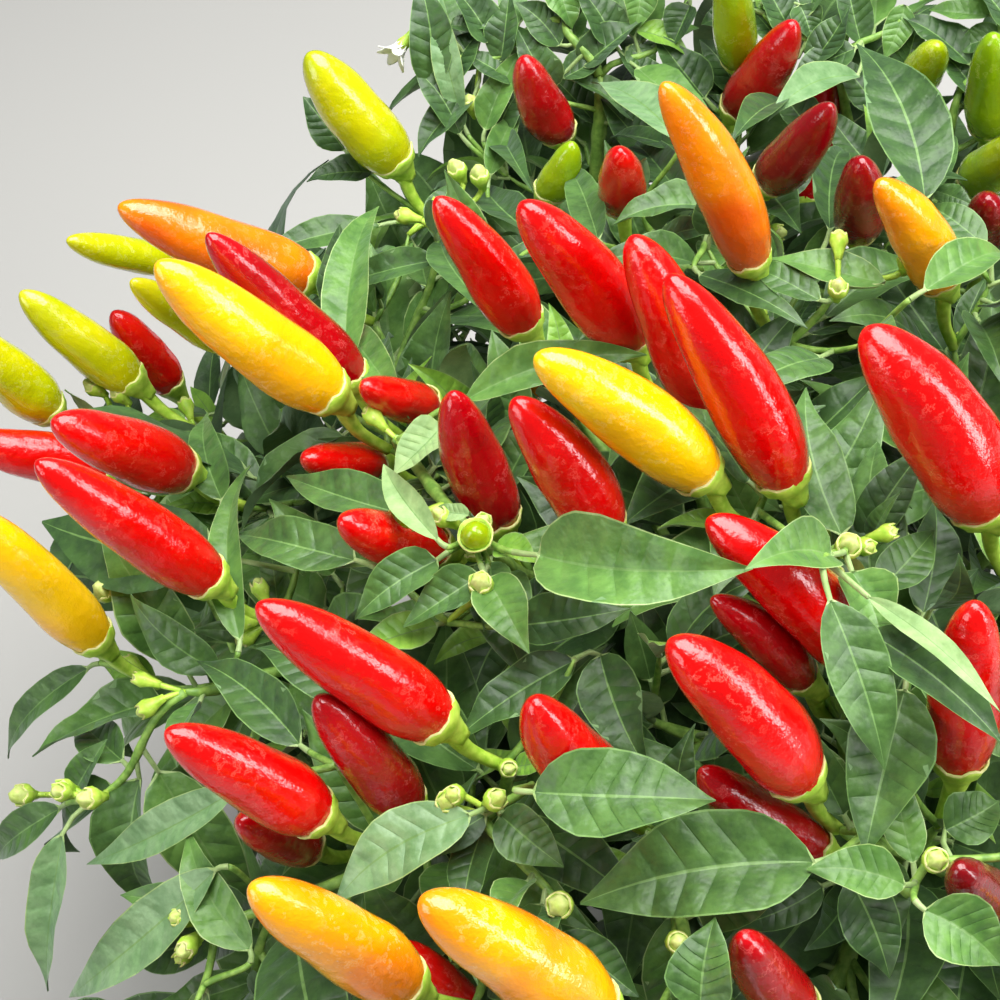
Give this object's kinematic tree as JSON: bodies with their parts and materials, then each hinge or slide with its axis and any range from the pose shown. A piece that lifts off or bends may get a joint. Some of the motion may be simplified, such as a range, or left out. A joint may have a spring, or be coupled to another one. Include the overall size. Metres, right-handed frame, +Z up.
{
  "type": "chilli pepper plant",
  "caption": "Bushy chilli pepper plant rooted in the ground: short stem, spreading boughs, dense leafy crown with upright green, yellow, orange and red fruit.",
  "frame": {"origin": "middle of the flat cut under the main stem, at ground level", "axes": "+Z up; -Y is the side that the picture was taken from"},
  "size_m": [0.4745, 0.4743, 0.3614],
  "materials": {
    "stem_bark": "matt, fine cork lines over green",
    "green_stem": "satin, ridged",
    "foliage": "satin leaf with gloss fruit",
    "fruit": "high gloss skin"
  },
  "bodies": {
    "root": {"main_stem": "stem_bark", "low_bough_1": "green_stem", "low_bough_2": "green_stem", "low_bough_3": "green_stem", "low_bough_4": "green_stem", "low_bough_5": "green_stem", "low_bough_6": "green_stem", "low_bough_7": "green_stem", "fork_bough_a": "green_stem", "fork_bough_b": "green_stem", "fork_bough_c": "green_stem", "high_bough_1": "green_stem", "high_bough_2": "green_stem", "high_bough_3": "green_stem", "high_bough_4": "green_stem", "high_bough_5": "green_stem", "top_bough": "green_stem", "low_foliage_1": "foliage", "low_foliage_2": "foliage", "low_foliage_3": "foliage", "low_foliage_4": "foliage", "low_foliage_5": "foliage", "low_foliage_6": "foliage", "low_foliage_7": "foliage", "high_foliage_1": "foliage", "high_foliage_2": "foliage", "high_foliage_3": "foliage", "high_foliage_4": "foliage", "high_foliage_5": "foliage", "top_foliage": "foliage"}
  },
  "joints": []
}
